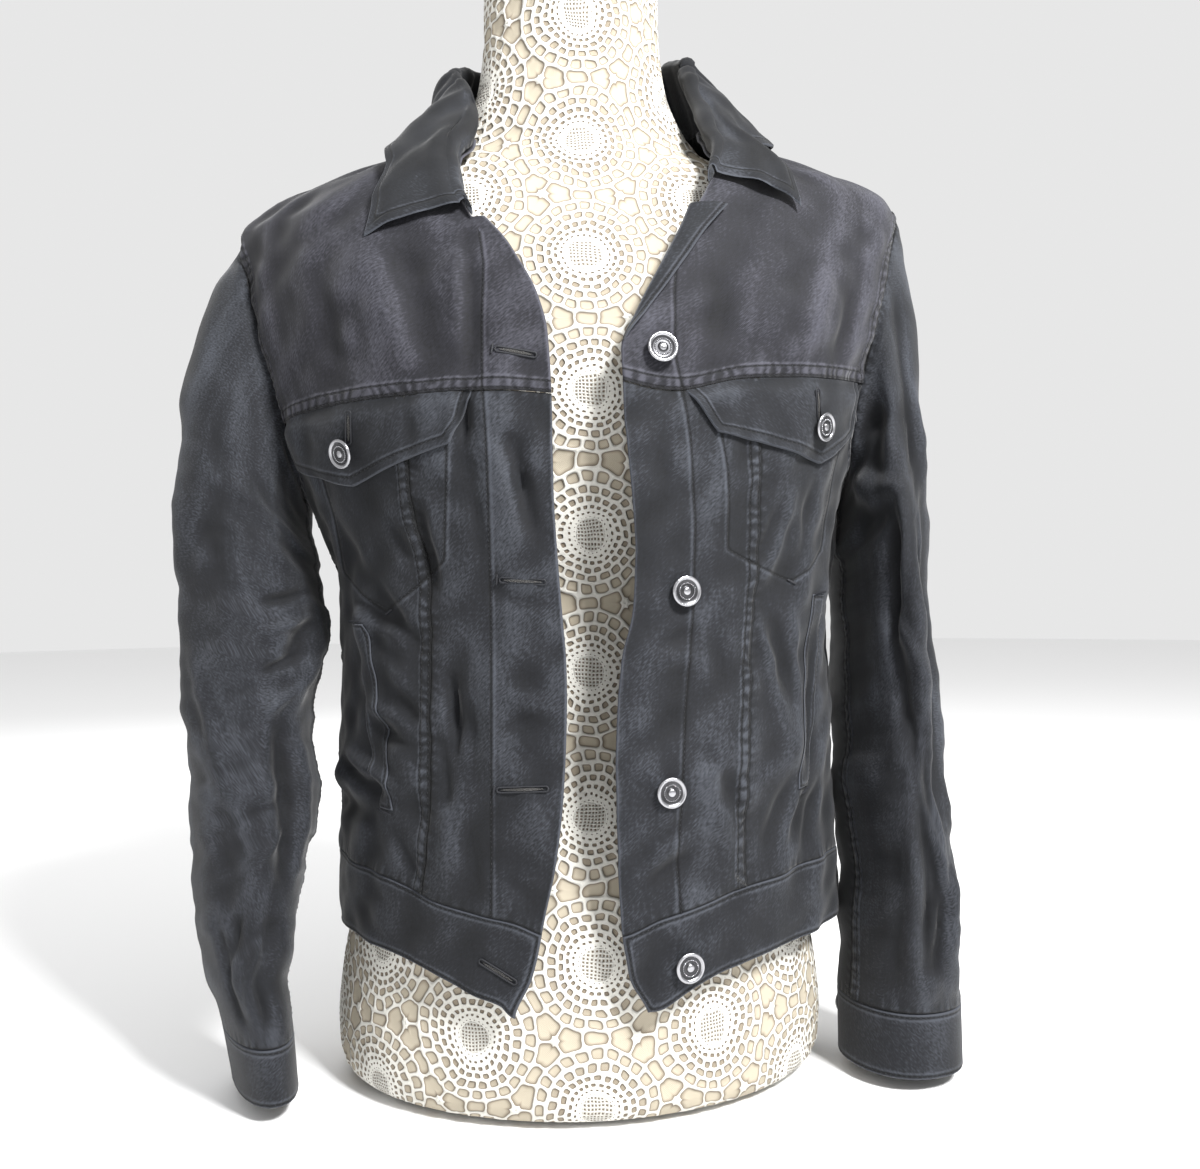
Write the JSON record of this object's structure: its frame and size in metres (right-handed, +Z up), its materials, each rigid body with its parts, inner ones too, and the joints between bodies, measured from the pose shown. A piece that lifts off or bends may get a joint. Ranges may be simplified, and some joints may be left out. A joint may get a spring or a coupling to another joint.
{
  "type": "denim jacket on a limbless dress form",
  "caption": "Long-sleeved denim jacket worn open on a smooth limbless dress form, with a rolled collar, flapped chest pockets, slanted side welts and a fitted hem band.",
  "frame": {"origin": "centre of the dress form's flat base, on the surface it stands on", "axes": "+Z up, the jacket's front faces -Y, and -X is the wearer's right"},
  "size_m": [0.478, 0.2742, 0.711],
  "materials": {
    "denim": "washed charcoal cotton twill",
    "form_cover": "cream crocheted cover over a smooth padded form",
    "button_metal": "polished"
  },
  "bodies": {
    "root": {"front_centre_right": "denim", "front_centre_left": "denim", "front_side_right": "denim", "front_side_left": "denim", "front_yoke_right": "denim", "front_yoke_left": "denim", "back_side_right": "denim", "back_side_left": "denim", "sleeve_upper_right": "denim", "sleeve_upper_left": "denim", "sleeve_under_right": "denim", "sleeve_under_left": "denim", "cuff_right": "denim", "cuff_left": "denim", "pocket_flap_right": "denim", "pocket_flap_left": "denim", "side_welt_right": "denim", "side_welt_left": "denim", "back_yoke": "denim", "back_centre": "denim", "waistband": "denim", "collar": "denim", "lapel_left": "denim", "dress_form": "form_cover", "button_front_1": "button_metal", "button_front_2": "button_metal", "button_front_3": "button_metal", "button_front_4": "button_metal", "button_pocket_right": "button_metal", "button_pocket_left": "button_metal", "button_cuff_right": "button_metal", "button_cuff_left": "button_metal"}
  },
  "joints": []
}
